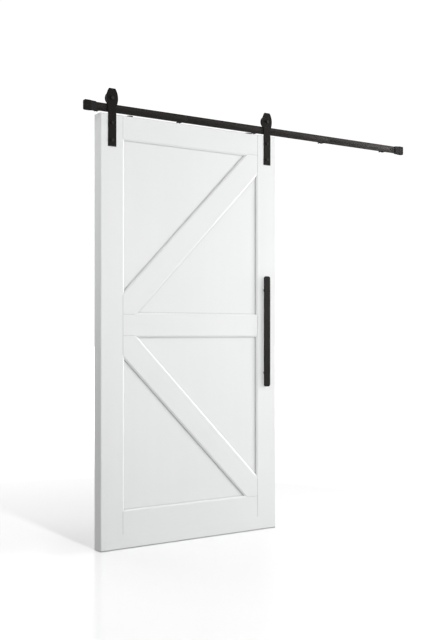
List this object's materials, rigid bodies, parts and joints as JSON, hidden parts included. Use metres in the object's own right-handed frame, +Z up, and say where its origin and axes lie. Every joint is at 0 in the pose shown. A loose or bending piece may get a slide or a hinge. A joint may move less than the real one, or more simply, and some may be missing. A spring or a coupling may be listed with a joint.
{
  "type": "sliding barn door",
  "caption": "White framed sliding door leaf with K braces and a bar pull, hung by strap rollers from a black flat wall track with end stops.",
  "frame": {"origin": "centre of the middle track spacer's back face, on the wall plane", "axes": "+X along the track towards the open end, +Y into the wall, +Z up; the front looks to -Y"},
  "size_m": [2.128, 0.136, 2.2581],
  "materials": {
    "white_painted_wood": "satin white paint",
    "bare_wood": "bare",
    "black_powder_coat": "satin black powder coat",
    "black_fasteners": "black oxide",
    "bearing_steel": "ground steel",
    "black_wheel": "turned black nylon",
    "black_rubber": "matte"
  },
  "bodies": {
    "rail": {"track_bar": "black_powder_coat", "track_spacers": "black_powder_coat", "wall_screws": "black_fasteners", "left_stop": "black_powder_coat", "right_stop": "black_powder_coat", "left_bumper": "black_rubber", "right_bumper": "black_rubber", "stop_screws": "black_fasteners"},
    "door": {"left_stile": "white_painted_wood", "right_stile": "white_painted_wood", "top_rail": "white_painted_wood", "mid_rail": "white_painted_wood", "bottom_rail": "white_painted_wood", "upper_panel": "white_painted_wood", "lower_panel": "white_painted_wood", "upper_brace": "white_painted_wood", "lower_brace": "white_painted_wood", "joint_dowels": "bare_wood", "left_strap": "black_powder_coat", "right_strap": "black_powder_coat", "strap_bolts": "black_fasteners", "sleeve_nuts": "black_fasteners", "axle_bolts": "black_fasteners", "axle_bushes": "bearing_steel", "axle_nuts": "black_fasteners", "bearing_inner_rings": "bearing_steel", "anti_jump_discs": "black_powder_coat", "disc_screws": "black_fasteners", "pull_handle": "black_powder_coat", "handle_bolts": "black_fasteners"},
    "left_wheel": {"left_wheel": "black_wheel", "left_bearing_outer_ring": "bearing_steel", "left_bearing_balls": "bearing_steel"},
    "right_wheel": {"right_wheel": "black_wheel", "right_bearing_outer_ring": "bearing_steel", "right_bearing_balls": "bearing_steel"}
  },
  "joints": [
    {"name": "door_slide", "type": "slide", "parent": "rail", "child": "door", "axis": [1, 0, 0], "range_m": [-0.0625, 0.9475]},
    {"name": "left_wheel_spin", "type": "hinge", "parent": "door", "child": "left_wheel", "pos_m": [-0.915, -0.069, 0.0471], "axis": [0, 1, 0], "continuous": true},
    {"name": "right_wheel_spin", "type": "hinge", "parent": "door", "child": "right_wheel", "pos_m": [0.03, -0.069, 0.0471], "axis": [0, 1, 0], "continuous": true}
  ],
  "couplings": [
    {"joint": "left_wheel_spin", "follows": "door_slide", "rad_per_m": 37.037},
    {"joint": "right_wheel_spin", "follows": "door_slide", "rad_per_m": 37.037}
  ]
}
